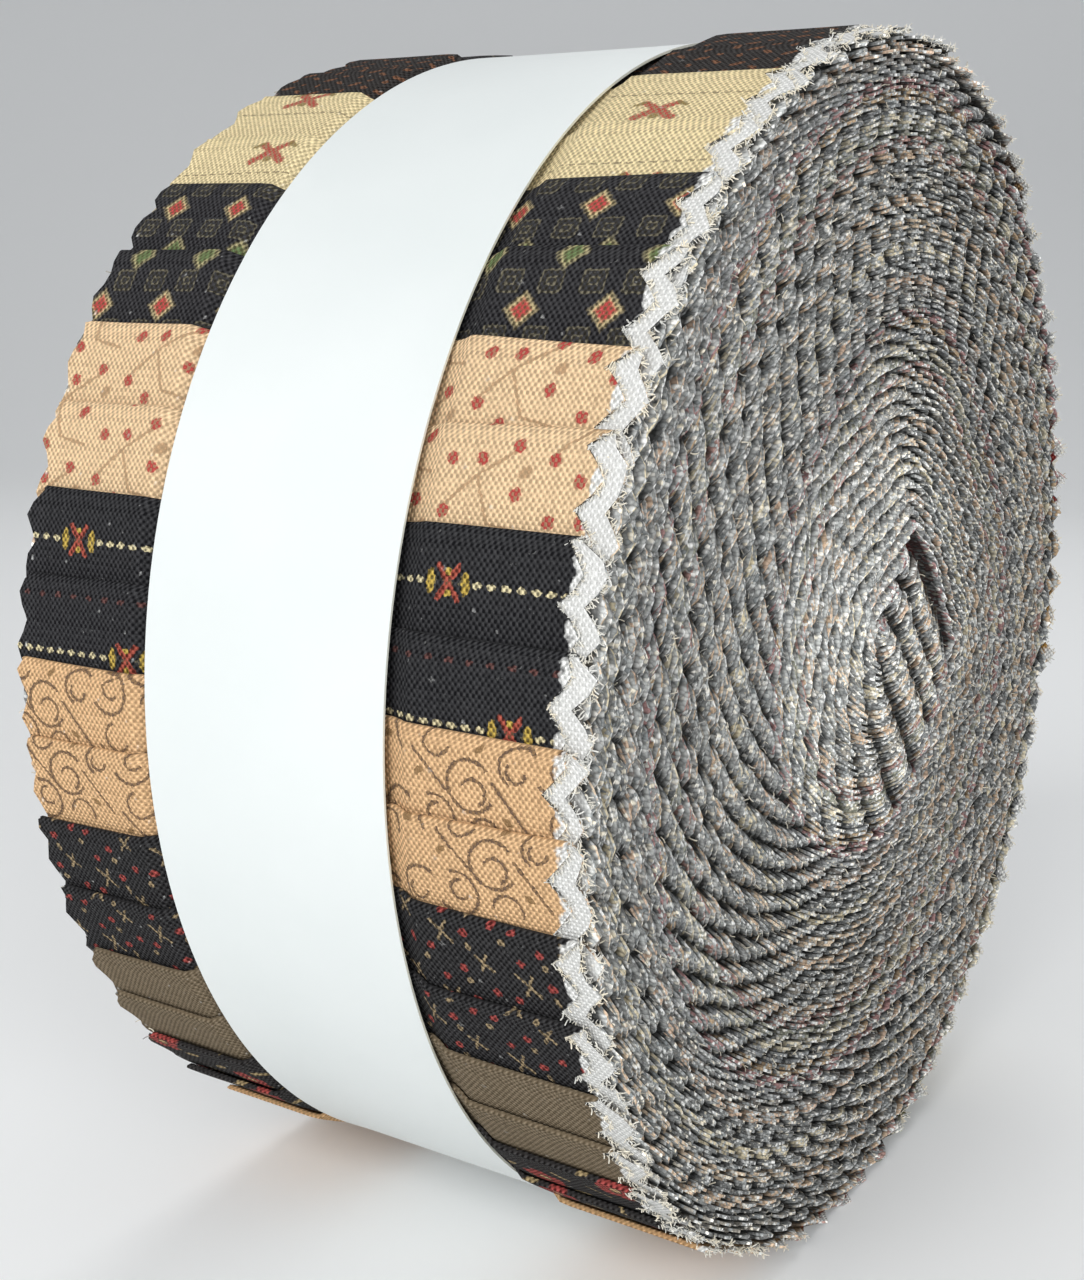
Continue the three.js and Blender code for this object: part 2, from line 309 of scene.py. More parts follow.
def strip_mesh(name, place_in_stack, motif):
    """The mesh of one strip: printed side, wrong side and cut edges. One map has the cloth's own
    places in metres, across from its middle and down from its fold. The other starts at a motif."""
    rows = strip_rows(place_in_stack)
    below = rows["below_fold"]
    shown = np.abs(below) < SHOWN_RUN
    wander = CREEP * np.sin(below / CREEP_RUN * 2 * np.pi + chance.uniform(0, 7, 1))
    out_of_square = chance.uniform(*UNDER_HALF_OUT) * (0.5 - ramp(below / OUT_TURN + 0.5))
    out_of_square = out_of_square * (1 - OUT_LOST * ramp(np.abs(below) / OUT_REACH))
    shift = chance.uniform(-STRIP_ASKEW, STRIP_ASKEW) + wander + out_of_square
    slant = chance.uniform(-FOLD_SLANT, FOLD_SLANT, 3)
    lift = chance.uniform(*FOLD_LIFT, 2)
    points, charts, around, starts = [], [], [], [0]
    for row, notch in enumerate(rows["notch"]):
        uneven = RAVELLED if -SHOWN_RUN < below[row] < 0 else TOOTH_UNEVEN
        edge = STRIP_WIDTH / 2 - notch + chance.uniform(-1, 1, 2) * uneven
        columns = np.array(HOLLOW_COLUMNS if shown[row] else ()) - shift[row]
        x = np.array((-edge[0], *columns, edge[1]))
        out, away = rows["out"][row], rows["away"][row]
        onward = np.array((away[1], -away[0]))
        thick = np.full(len(x), CLOTH)
        thick[[0, -1]] = FLUFFED
        share = x / STRIP_WIDTH
        along = slant[0] * 2 * share + slant[1] * np.sin(SLANT_WAVE * share + SLANT_PHASE * slant[2])
        along = along * (1 - ramp(abs(below[row]) / SHOWN_RUN))
        loose = (lift[0] + (lift[1] - lift[0]) * (share + 0.5)) * (1 - under_band(x + shift[row]))
        loose = loose * np.exp(-abs(below[row]) / FOLD_LIFT_REACH)
        for face in (-1, 1):
            plane = (rows["place"][row] + face / 2 * thick[:, None] * out + loose[:, None] * away
                     + along[:, None] * onward)
            points.append(np.column_stack((x + shift[row], plane))[::-face])
            charts.append(np.column_stack((x, np.full(len(x), below[row])))[::-face])
            around.append(np.full(len(x), rows["around"][row]))
        starts.append(starts[-1] + 2 * len(x))
    points = settle(np.concatenate(points), np.concatenate(around))
    charts = np.concatenate(charts)
    faces, sides = [], []
    for row in range(len(starts) - 2):
        here, there = np.arange(*starts[row:row + 2]), np.arange(*starts[row + 1:row + 3])
        for side in (0, 1):
            near, far = np.split(here, 2)[side], np.split(there, 2)[side]
            if len(near) == len(far):
                faces.extend(zip(near[:-1], far[:-1], far[1:], near[1:]))
            else:
                faces.append((near[0], *far, *near[:0:-1]))
            sides += [side] * (len(faces) - len(sides))
        half, other = len(here) // 2, len(there) // 2
        right_edge = (here[half - 1], there[other - 1], there[other], here[half])
        left_edge = (here[-1], there[-1], there[0], here[0])
        faces += [right_edge, left_edge]
        sides += [2, 2]
        cut_edges["right"].append(points[list(right_edge)])
        cut_edges["left"].append(points[list(left_edge)])
        if abs(below[row]) < FRINGE_RUN:
            cut_edges["rim"].append(points[list(right_edge)])
    faces.append(tuple(range(starts[1])))
    faces.append(tuple(range(starts[-1] - 1, starts[-2] - 1, -1)))
    sides += [2, 2]
    mesh = closed_mesh(name, points, [[int(corner) for corner in face] for face in faces], sides)
    corners = np.empty(len(mesh.loops), dtype=int)
    mesh.loops.foreach_get("vertex_index", corners)
    for chart, start in (("cloth", (0, 0)), ("print", motif)):
        chart = mesh.uv_layers.new(name=chart)
        chart.data.foreach_set("uv", ((charts - start) * MM)[corners].ravel())
    return mesh


# The cotton strips: cloth and prints
# The cloth is plain-woven quilting cotton, dyed or printed with pigment on one side only, so that
# its wrong side and the thread ends along the pinking stay nearly white. It is matt, and the ink
# sits on the crowns of the threads, which breaks up the edges of the small motifs.
THREADS = (0.30, 0.37)  # spacing of the warp and of the weft
SLUBS = 0.7  # thick and thin places for each thread
CROWN_SHADING, SLUB_TONE, TONES = 0.8, 0.35, (0.1, 1.4)  # painted light and shade on the crowns, and each thread's own random tone
WEFT_LOW, SLUB_HEIGHT, WEAVE_RELIEF = 0.35, 0.3, 0.12  # and what raises them
INK_WOBBLE, WOBBLES, INK_EDGE = 0.1, 2.6, (1.25, 0.8)  # how ragged a mark's outline is
HOLD_FROM, HOLD_TO, HOLD_LEAST = 0.15, 0.5, 0.4  # the tones where ink thins, and what is left
WHITE_FROM, WHITE_TO = 30.2, 32.2  # where the print thins out on the right edge's teeth
WEAR_SIZE, WEAR_FROM, WEAR_TO = 1.1111, 0.72, 0.95  # its worn patches, and how sharp they are
EDGE_FROM, EDGE_TO = 28.4, 29.6  # where the fluffed edge starts, from the middle
BURIED_FROM, BURIED_TO = 9.0, 15.0  # how far from the fold only the cut edge still shows
PRINTS = {
    "cream_bows": ("#E6D3A4", [
        ((15.0, 11.6), 0.5, (0, 0), [
            ("#A5382B", [("line", -0.4, 0.1, -1.9, 1.3, 0.95), ("line", 0.4, 0.1, 1.9, 1.3, 0.95),
                ("line", -0.3, -0.3, -1.7, -1.2, 0.8), ("line", 0.3, -0.3, 1.7, -1.2, 0.8),
                ("disc", 0, 0, 0.75, 0.6)]),
            ("#85703A", [("line", -1.8, -1.3, -2.7, -0.8, 0.45), ("line", 1.8, -1.3, 2.7, -0.8, 0.45),
                ("disc", 0, 1.0, 0.5, 0.4)])]),
        ((1.2, 5.8), 0, (0, 3.0), [("#8B7C5C", [("square", 0, 0, 0.38, 0.11)])]),
    ]),
    "diamonds": ("#1B1A1E", [
        ((8.3, 10.6), 0, (0, 0), [
            ("#C2AF80", [("diamond", 0, 0, 1.6)]),
            ("#AE3330", [("diamond", 0, 0, 1.05)])]),
        ((8.3, 10.6), 0, (2.9, -5.4), [
            ("#A89D72", [("diamond", 0, 0, 1.45)]),
            ("#5A6E3E", [("diamond", 0, 0, 0.95)])]),
        ((4.15, 5.3), 0, (2.1, 2.6), [
            ("#5F5946", [("square", 0, 0, 1.2, 1.15)]),
            ("#1B1A1E", [("square", 0, 0, 1.0, 0.95)]),
            ("#5F5946", [("square", 0, 0, 0.5, 0.45)]),
            ("#1B1A1E", [("square", 0, 0, 0.3, 0.26)])]),
    ]),
    "peach_dots": ("#E7C69C", [
        ((10.2, 9.4), 0.5, (0, 0), [
            ("#B3906A", [("line", -4.4, 2.0, -1.2, -0.8, 0.3), ("line", -1.2, -0.8, 2.2, -2.9, 0.3),
                ("line", -1.2, -0.8, 0.4, 3.1, 0.3), ("line", 0.4, 3.1, 3.8, 3.7, 0.3),
                ("disc", 3.4, -1.2, 0.7, 0.45, 40)]),
            ("#A62F28", [("disc", -4.1, 2.3, 0.58), ("disc", -0.9, -2.2, 0.58),
                ("disc", 2.4, -3.4, 0.58), ("disc", 2.8, 0.6, 0.58), ("disc", -1.5, 3.9, 0.58),
                ("disc", -3.9, -2.1, 0.58)])]),
    ]),
    "dotted_stripes": ("#17171B", [
        ((1.45, 11.0), 0, (0, 0), [("#D3C69C", [("disc", 0, 0, 0.48, 0.28)])]),
        ((2.1, 11.0), 0, (0, 5.5), [("#59302A", [("disc", 0, 0, 0.4, 0.26)])]),
        ((10.85, 22.0), 0.5, (0, 0), [
            ("#17171B", [("square", 0, 0, 2.5, 1.3)]),
            ("#B99C3E", [("disc", -1.75, 0, 0.42, 1.0), ("disc", 1.75, 0, 0.42, 1.0),
                ("disc", 0, 0.9, 0.35, 0.3), ("disc", 0, -0.9, 0.35, 0.3)]),
            ("#A0432F", [("line", -1.0, -1.35, 1.0, 1.35, 0.5),
                ("line", -1.0, 1.35, 1.0, -1.35, 0.5)])]),
    ]),
    "tan_scrolls": ("#DDB384", [
        ((12.6, 11.4), 0.5, (0, 0), [
            ("#5F4630", [("curl", 0, 0, 2.3, 0.34, 30, 290), ("curl", 0.3, 0.5, 1.15, 0.34, 200, 230),
                ("curl", 4.9, -2.3, 1.9, 0.34, 120, 260), ("curl", 4.6, -1.9, 0.9, 0.3, 0, 220),
                ("curl", -3.9, 3.4, 2.1, 0.34, 250, 260), ("curl", -3.6, 3.0, 0.95, 0.3, 40, 240),
                ("curl", 1.2, 4.2, 1.5, 0.3, 180, 200), ("line", -2.2, 1.0, -5.8, -2.6, 0.3),
                ("line", 2.3, -0.6, 5.6, 3.4, 0.3), ("curl", -3.4, -3.6, 1.4, 0.3, 20, 240)]),
            ("#84643A", [("disc", -5.2, -0.6, 0.55, 0.3, 40), ("disc", 3.5, 2.6, 0.55, 0.3, -30),
                ("disc", 0.9, -3.4, 0.55, 0.3, 60)])]),
    ]),
    "black_specks": ("#161517", [
        ((8.4, 7.4), 0.5, (0, 0), [
            ("#94805F", [("line", -2.6, -1.6, -0.4, 0.2, 0.3), ("line", -1.9, 0.4, -1.0, -1.8, 0.3),
                ("line", 1.8, 1.2, 3.4, 2.4, 0.3), ("line", 2.2, 2.6, 2.9, 0.9, 0.3),
                ("disc", -3.6, 2.6, 0.35), ("disc", 0.6, -3.2, 0.35),
                ("disc", 1.2, 0.3, 0.25, 0.5, 20)]),
            ("#96352E", [("disc", 0.9, -1.1, 0.5, 0.42, 20), ("disc", -2.9, 1.3, 0.45, 0.42),
                ("disc", 3.3, -2.6, 0.42, 0.45), ("disc", 0.2, 2.9, 0.42),
                ("disc", -1.9, -3.0, 0.4, 0.36)])]),
    ]),
    "plain_brown": ("#75664F", []),
    "black_blossoms": ("#1B1716", [
        ((9.6, 10.4), 0.5, (0, 0), [
            ("#A08B62", [("disc", -3.4, -1.6, 1.3, 0.4, 35), ("disc", 3.3, 1.9, 1.3, 0.4, 20),
                ("disc", 2.9, -2.9, 1.1, 0.35, -40), ("line", -3.9, 2.6, -1.6, 3.9, 0.22),
                ("line", -2.2, 0.8, 2.3, 1.2, 0.2)]),
            ("#A03A34", [("disc", 0, -1.5, 0.95, 0.8), ("disc", 1.4, -0.4, 0.8, 0.95),
                ("disc", 0.9, 1.2, 0.9, 0.8, 30), ("disc", -0.9, 1.2, 0.9, 0.8, -30),
                ("disc", -1.4, -0.4, 0.8, 0.95)]),
            ("#C9A777", [("disc", 0, 0, 0.55)])]),
    ]),
    "plain_tan": ("#C9A070", []),
    "rust_checks": ("#9A4A2C", [
        ((3.2, 3.2), 0, (0, 0), [
            ("#D9B98C", [("square", 0, 0, 1.6, 0.2), ("square", 0, 0, 0.2, 1.6)])]),
    ]),
    "olive_sprigs": ("#6C6A42", [
        ((7.4, 8.0), 0.5, (0, 0), [
            ("#CDBF94", [("line", 0, -2.2, 0, 2.2, 0.22), ("disc", -0.9, -0.9, 0.8, 0.3, 40),
                ("disc", 0.9, -0.4, 0.8, 0.3, -40), ("disc", -0.9, 0.8, 0.8, 0.3, 40)])]),
    ]),
    "cream_dots": ("#DDCDA6", [
        ((4.2, 4.2), 0.5, (0, 0), [("#6B4A33", [("disc", 0, 0, 0.5)])]),
    ]),
    "navy_stars": ("#2C2F3A", [
        ((6.8, 7.2), 0.5, (0, 0), [
            ("#C9BC93", [("line", -1.1, 0, 1.1, 0, 0.2), ("line", -0.6, -1.0, 0.6, 1.0, 0.2),
                ("line", -0.6, 1.0, 0.6, -1.0, 0.2)])]),
    ]),
    "gold_leaves": ("#B98C45", [
        ((6.6, 7.6), 0.5, (0, 0), [
            ("#6E4A26", [("disc", -1.2, -0.8, 1.5, 0.5, 50), ("disc", 1.4, 1.0, 1.5, 0.5, -35)])]),
    ]),
    "red_sprigs": ("#93302A", [
        ((7.8, 7.0), 0.5, (0, 0), [
            ("#D2B98C", [("line", -1.8, 1.2, 1.8, -1.2, 0.22), ("disc", -0.4, -0.9, 0.8, 0.3, 70),
                ("disc", 0.6, 0.9, 0.8, 0.3, 70), ("disc", 2.0, -1.4, 0.4)])]),
    ]),
    "grey_ticking": ("#77777A", [
        ((2.4, 50.0), 0, (0, 0), [("#C9C6BC", [("square", 0, 0, 0.25, 25.0)])]),
    ]),
    "brown_leaves": ("#5B4634", [
        ((8.2, 8.8), 0.5, (0, 0), [
            ("#B08A5A", [("disc", 0, 0, 2.0, 0.7, 30), ("disc", 2.2, 2.4, 1.2, 0.45, -50),
                ("line", -3.4, 1.0, -1.2, 3.2, 0.22)])]),
    ]),
    "peach_stripes": ("#DCB087", [
        ((3.4, 50.0), 0, (0, 0), [("#A85A40", [("square", 0, 0, 0.3, 25.0)])]),
    ]),
    "black_vines": ("#222022", [
        ((9.4, 9.0), 0.5, (0, 0), [
            ("#9C8B69", [("curl", 0, 0, 2.6, 0.2, 0, 200), ("curl", 3.6, 1.8, 1.8, 0.2, 150, 200),
                ("disc", -2.4, 2.0, 0.9, 0.35, 30), ("disc", 1.6, -2.6, 0.9, 0.35, -40)])]),
    ]),
    "mottled_black": ("#1E1815", [
        ((4.6, 4.0), 0.5, (0, 0), [
            ("#75492A", [("disc", -0.9, -0.5, 0.8, 0.35, 25), ("disc", 1.1, 0.7, 0.7, 0.3, -40),
                ("disc", 0.6, -1.4, 0.4, 0.25), ("disc", -1.6, 1.2, 0.3, 0.45)])]),
    ]),
}
# Where a motif lies on each strip that shows in front, in millimetres from the middle and the fold.
# On the other strips it may lie anywhere.
MOTIF_PLACES = {
    1: (21.4, 7.3), 2: (-20.4, 2.7), 3: (13.8, 3.6), 4: (19.3, 6.3), 5: (22.0, 3.6), 6: (21.0, 5.2),
    7: (18.9, 4.9), 8: (26.3, 7.4), 9: (22.5, 4.5), 10: (24.3, 3.4), 11: (20.0, 3.0), 12: (17.0, 4.0),
    15: (-28.9, 1.1), 16: (18.7, 1.8),
}
MARK_POWERS = {"diamond": 1.0, "disc": 2.0, "square": 8.0}
WHITE_COTTON, CREAM_COTTON, GREY_COTTON, SHADED_COTTON = "#ECECE9", "#F1E8D3", "#BEC0BE", "#858A8B"
TUFT = (0.6, 0.36, 0.36)  # one tuft of thread ends, across the strip and round
GAP_FROM, GAP_TO, GAP_SHADE = 0.35, 0.8, 0.45  # painted shade in the gaps between tufts
DYED_SHARE, DYE_FADED = 0.5, 0.4  # how many tufts are dyed, and how much greyer they are
NOTCH_FROM, NOTCH_SHADE = 30.75, 0.13  # painted shade in the notches, from the strip's middle
TIP_FROM, TIP_LIGHT = 31.55, 1.1  # and painted light on the tips
HUB_FROM, HUB_TO, HUB_LIGHT = 420.0, 530.0, 1.5  # lighter over the first turn, at the hub
RIM_FROM, RIM_TO, RIM_LIGHT = 10.0, 60.0, 1.5  # and the folds are ravelled to white


def linear(colour):
    """An sRGB colour such as #e6d5a8, turned to the linear values that shaders take."""
    channels = [int(colour[start:start + 2], 16) / 255 for start in (1, 3, 5)]
    channels = [c / 12.92 if c <= 0.04045 else ((c + 0.055) / 1.055) ** 2.4 for c in channels]
    return (*channels, 1.0)


def put(tree, kind, inputs=None, **settings):
    """Adds a node with its settings. An input is a plain value, or a node or socket to link. The
    kind of a shader node is written without ShaderNode, and a sum's with its operation."""
    kind, *operation = kind.split()
    node = tree.nodes.new(kind if "Node" in kind else f"ShaderNode{kind}")
    if operation:
        node.operation = operation[0]
    for name, value in settings.items():
        setattr(node, name, value)
    for name, value in (inputs or {}).items():
        value = value.outputs[0] if isinstance(value, bpy.types.Node) else value
        if isinstance(value, bpy.types.NodeSocket):
            tree.links.new(value, node.inputs[name])
        else:
            node.inputs[name].default_value = value
    return node


def recipe(name, takes, gives, kind="ShaderNodeTree"):
    """A new node group and the node of its inputs. Sockets are written as name: type."""
    tree = bpy.data.node_groups.new(name, kind)
    for direction, sockets in (("INPUT", takes), ("OUTPUT", gives)):
        for socket, form in sockets.items():
            tree.interface.new_socket(socket, in_out=direction, socket_type=f"NodeSocket{form}")
    return tree, put(tree, "NodeGroupInput").outputs


# The weave: crowns of warp and weft in turn, with painted light and shade following the crowns, and each
# thread a little lighter or darker than the next
weave, given = recipe("plain weave", {"Map": "Vector"}, {"Height": "Float", "Tone": "Float"})
threads = put(weave, "VectorMath MULTIPLY", {
    0: given["Map"], 1: (1 / THREADS[0] / MM, 1 / THREADS[1] / MM, 0)})
angles = put(weave, "VectorMath MULTIPLY", {0: threads, 1: (math.pi,) * 3})
angles = put(weave, "SeparateXYZ", {0: angles})
across, down = (put(weave, "Math SINE", {0: angle}) for angle in angles.outputs[:2])
crown = put(weave, "Math MULTIPLY", {0: across, 1: down})
numbers = put(weave, "VectorMath FLOOR", {0: threads})
numbers = put(weave, "SeparateXYZ", {0: numbers})
warp, weft = (put(weave, "TexWhiteNoise", {"W": number}, noise_dimensions="1D")
              for number in numbers.outputs[:2])
on_top = put(weave, "Math GREATER_THAN", {0: crown, 1: 0.0})
thread = put(weave, "Mix", {0: on_top, 2: weft, 3: warp})
slub = put(weave, "TexNoise", {"Vector": threads, "Scale": SLUBS, "Detail": 2.0}, noise_dimensions="2D")
uneven = put(weave, "Math MULTIPLY_ADD", {0: thread, 1: SLUB_TONE, 2: slub})
# painted light and shade from the crowns, over each thread's own random tone
tone = put(weave, "Math MULTIPLY_ADD", {0: crown, 1: CROWN_SHADING, 2: uneven})
tone = put(weave, "MapRange", {0: tone, 1: TONES[0], 2: TONES[1]})
relief = put(weave, "Math ABSOLUTE", {0: crown})
relief = put(weave, "Math MULTIPLY_ADD", {0: crown, 1: WEFT_LOW, 2: relief})
height = put(weave, "Math MULTIPLY_ADD", {0: uneven, 1: SLUB_HEIGHT, 2: relief})
put(weave, "NodeGroupOutput", {"Height": height, "Tone": tone})

# The thread ends: fluffed tufts of yarn along the pinking, most of them undyed inside, with painted
# shade in the gaps between them and down in the notches, and painted light on the tips
ends, given = recipe("thread ends", {"Place": "Vector", "Map": "Vector", "Dye": "Color"},
                     {"Color": "Color", "Height": "Float"})
place = put(ends, "VectorMath MULTIPLY", {0: given["Place"], 1: tuple(1 / size / MM for size in TUFT)})
tufts = put(ends, "TexVoronoi", {"Vector": place, "Scale": 1.0})
pick = put(ends, "SeparateColor", {0: tufts.outputs["Color"]})
undyed = put(ends, "ValToRGB", {0: pick.outputs[0]})
stops = undyed.color_ramp.elements
stops[0].color, stops[1].color = linear(SHADED_COTTON), linear(CREAM_COTTON)
stops.new(0.35).color = linear(GREY_COTTON)
stops.new(0.75).color = linear(WHITE_COTTON)
dyed = put(ends, "MixRGB", {"Fac": DYE_FADED, "Color1": given["Dye"], "Color2": linear(GREY_COTTON)})
dye = put(ends, "Math LESS_THAN", {0: pick.outputs[1], 1: DYED_SHARE})
colour = put(ends, "MixRGB", {"Fac": dye, "Color1": undyed, "Color2": dyed})
# painted shade in the gaps between the tufts
gap_shade = put(ends, "MapRange", {0: tufts.outputs["Distance"], 1: GAP_FROM, 2: GAP_TO, 3: 1.0, 4: GAP_SHADE})
place = put(ends, "VectorMath ABSOLUTE", {0: given["Map"]})
place = put(ends, "SeparateXYZ", {0: place})
# painted shade down in the notches and painted light on the tips
up = put(ends, "MapRange", {
    0: place.outputs[0], 1: NOTCH_FROM * MM, 2: TIP_FROM * MM, 3: NOTCH_SHADE, 4: TIP_LIGHT})
shade = put(ends, "Math MULTIPLY", {0: gap_shade, 1: up})
for start, end, near, far in ((HUB_FROM, HUB_TO, 1.0, HUB_LIGHT), (RIM_FROM, RIM_TO, RIM_LIGHT, 1.0)):
    light = put(ends, "MapRange", {0: place.outputs[1], 1: start * MM, 2: end * MM, 3: near, 4: far})
    shade = put(ends, "Math MULTIPLY", {0: shade, 1: light})
colour = put(ends, "MixRGB", {"Fac": 1.0, "Color1": colour, "Color2": shade}, blend_type="MULTIPLY")
height = put(ends, "Math SUBTRACT", {0: 1.0, 1: tufts.outputs["Distance"]})
put(ends, "NodeGroupOutput", {"Color": colour, "Height": height})

# The repeat: the place inside one repeat of a print, in millimetres from the middle of the repeat,
# with every other column dropped by a share of the repeat
repeat, given = recipe("print repeat", {"Map": "Vector", "Size": "Vector", "Start": "Vector",
                                        "Drop": "Float"}, {"Place": "Vector"})
place = put(repeat, "VectorMath MULTIPLY", {0: given["Map"], 1: (1 / MM,) * 3})
wobble = put(repeat, "TexNoise", {"Vector": place, "Scale": WOBBLES, "Detail": 1.0},
             noise_dimensions="2D")
wobble = put(repeat, "VectorMath SUBTRACT", {0: wobble.outputs["Color"], 1: (0.5,) * 3})
place = put(repeat, "VectorMath MULTIPLY_ADD", {0: wobble, 1: (4 * INK_WOBBLE,) * 3, 2: place})
place = put(repeat, "VectorMath SUBTRACT", {0: place, 1: given["Start"]})
place = put(repeat, "VectorMath DIVIDE", {0: place, 1: given["Size"]})
place = put(repeat, "VectorMath ADD", {0: place, 1: (0.5, 0.5, 0.0)})
place = put(repeat, "SeparateXYZ", {0: place})
column = put(repeat, "Math FLOOR", {0: place.outputs[0]})
dropped = put(repeat, "Math MULTIPLY_ADD", {0: column, 1: given["Drop"], 2: place.outputs[1]})
place = put(repeat, "CombineXYZ", {0: place.outputs[0], 1: dropped})
place = put(repeat, "VectorMath FRACTION", {0: place})
place = put(repeat, "VectorMath SUBTRACT", {0: place, 1: (0.5, 0.5, 0.0)})
place = put(repeat, "VectorMath MULTIPLY", {0: place, 1: given["Size"]})
put(repeat, "NodeGroupOutput", {"Place": place})

# The marks that a print is charted with: a rounded shape, a line and a curl
shape, given = recipe("printed shape", {"Place": "Vector", "Middle": "Vector", "Half": "Vector",
                                        "Turn": "Float", "Power": "Float"}, {"Ink": "Float"})
place = put(shape, "VectorMath SUBTRACT", {0: given["Place"], 1: given["Middle"]})
place = put(shape, "VectorRotate", {"Vector": place, "Angle": given["Turn"]}, rotation_type="Z_AXIS")
place = put(shape, "VectorMath DIVIDE", {0: place, 1: given["Half"]})
place = put(shape, "VectorMath ABSOLUTE", {0: place})
place = put(shape, "SeparateXYZ", {0: place})
across, down = (put(shape, "Math POWER", {0: side, 1: given["Power"]}) for side in place.outputs[:2])
away = put(shape, "Math ADD", {0: across, 1: down})
put(shape, "NodeGroupOutput", {0: put(shape, "MapRange", {0: away, 1: INK_EDGE[0], 2: INK_EDGE[1]})})

line, given = recipe("printed line", {"Place": "Vector", "From": "Vector", "Run": "Vector",
                                      "Square": "Float", "Half": "Float"}, {"Ink": "Float"})
place = put(line, "VectorMath SUBTRACT", {0: given["Place"], 1: given["From"]})
along = put(line, "VectorMath DOT_PRODUCT", {0: place, 1: given["Run"]})
along = put(line, "Math DIVIDE", {0: along.outputs["Value"], 1: given["Square"]}, use_clamp=True)
nearest = put(line, "VectorMath SCALE", {0: given["Run"], "Scale": along})
away = put(line, "VectorMath DISTANCE", {0: place, 1: nearest})
away = put(line, "Math DIVIDE", {0: away.outputs["Value"], 1: given["Half"]})
put(line, "NodeGroupOutput", {0: put(line, "MapRange", {0: away, 1: INK_EDGE[0], 2: INK_EDGE[1]})})

curl, given = recipe("printed curl", {"Place": "Vector", "Middle": "Vector", "Radius": "Float",
                                      "Half": "Float", "From": "Float", "Sweep": "Float"},
                     {"Ink": "Float"})
place = put(curl, "VectorMath SUBTRACT", {0: given["Place"], 1: given["Middle"]})
away = put(curl, "VectorMath LENGTH", {0: place})
away = put(curl, "Math SUBTRACT", {0: away.outputs["Value"], 1: given["Radius"]})
away = put(curl, "Math ABSOLUTE", {0: away})
away = put(curl, "Math DIVIDE", {0: away, 1: given["Half"]})
ring = put(curl, "MapRange", {0: away, 1: INK_EDGE[0], 2: INK_EDGE[1]})
place = put(curl, "SeparateXYZ", {0: place})
turn = put(curl, "Math ARCTAN2", {0: place.outputs[1], 1: place.outputs[0]})
turn = put(curl, "Math SUBTRACT", {0: turn, 1: given["From"]})
turn = put(curl, "Math WRAP", {0: turn, 1: 2 * math.pi, 2: 0.0})
drawn = put(curl, "Math LESS_THAN", {0: turn, 1: given["Sweep"]})
drawn = put(curl, "Math MULTIPLY", {0: ring, 1: drawn})
put(curl, "NodeGroupOutput", {0: drawn})


def ink(tree, place, marks):
    """Where the ink of one colour lies: over any of its marks."""
    inked = None
    for form, x, y, *sizes in marks:
        inputs = {"Place": place, 1: (x, y, 0)}
        if form == "line":
            run = (sizes[0] - x, sizes[1] - y, 0)
            inputs.update({"Run": run, "Square": run[0] ** 2 + run[1] ** 2, "Half": sizes[2] / 2})
            mark = put(tree, "Group", node_tree=line, inputs=inputs)
        elif form == "curl":
            inputs.update({"Radius": sizes[0], "Half": sizes[1] / 2,
                           "From": math.radians(sizes[2]), "Sweep": math.radians(sizes[3])})
            mark = put(tree, "Group", node_tree=curl, inputs=inputs)
        else:
            halves, turned = (sizes[:2] * 2)[:2], sizes[2:] or [0]
            inputs.update({"Half": (*halves, 1), "Turn": math.radians(turned[0]),
                           "Power": MARK_POWERS[form]})
            mark = put(tree, "Group", node_tree=shape, inputs=inputs)
        inked = mark if inked is None else put(tree, "Math MAXIMUM", {0: inked, 1: mark})
    return inked


def finish_tree(name):
    """The empty node tree of a new material, and the socket of the places on its object."""
    material = bpy.data.materials.new(name)
    material.use_nodes = True
    material.node_tree.nodes.clear()
    return material, material.node_tree, put(material.node_tree, "TexCoord").outputs["Object"]


def cotton(name, dye, paint=None):
    """Matt cotton with its weave raised. The paint function gives the colour of the woven cloth,
    and thread ends take over along the cut edges where the cloth is buried in the roll."""
    material, tree, place = finish_tree(name)
    cloth = put(tree, "UVMap", uv_map="cloth")
    frayed = put(tree, "Group", node_tree=ends, inputs={"Place": place, "Map": cloth, "Dye": linear(dye)})
    colour, height = frayed.outputs["Color"], frayed.outputs["Height"]
    if paint:
        woven = put(tree, "Group", node_tree=weave, inputs={"Map": cloth})
        share = put(tree, "VectorMath ABSOLUTE", {0: cloth})
        share = put(tree, "SeparateXYZ", {0: share})
        at_edge = put(tree, "MapRange", {0: share.outputs[0], 1: EDGE_FROM * MM, 2: EDGE_TO * MM})
        buried = put(tree, "MapRange", {0: share.outputs[1], 1: BURIED_FROM * MM, 2: BURIED_TO * MM})
        share = put(tree, "Math MULTIPLY", {0: at_edge, 1: buried})
        colour = put(tree, "MixRGB", {
            "Fac": share, "Color1": paint(tree, cloth, woven.outputs["Tone"]), "Color2": colour})
        height = put(tree, "Mix", {0: share, 2: woven.outputs["Height"], 3: height})
    relief = put(tree, "Bump", {"Height": height, "Strength": 0.8, "Distance": WEAVE_RELIEF * MM})
    shader = put(tree, "BsdfPrincipled", {
        "Base Color": colour, "Normal": relief, "Roughness": 0.95, "Specular IOR Level": 0.12})
    put(tree, "OutputMaterial", {"Surface": shader})
    return material


def shade_threads(tree, colour, tone, darkest=0.46, lightest=1.2, painted_glint=0.042):
    """Paints shade into a colour between the crowns of the weave and light on them, and adds a painted
    glint; the weave's tone also carries each thread's own random tone.
    """
    light = put(tree, "MapRange", {0: tone, 3: darkest, 4: lightest})
    colour = put(tree, "MixRGB", {"Fac": 1.0, "Color1": colour, "Color2": light}, blend_type="MULTIPLY")
    # a painted glint that lightens the crowns of the threads
    glint = put(tree, "Math MULTIPLY", {0: tone, 1: painted_glint})
    return put(tree, "MixRGB", {"Fac": 1.0, "Color1": colour, "Color2": glint}, blend_type="ADD")


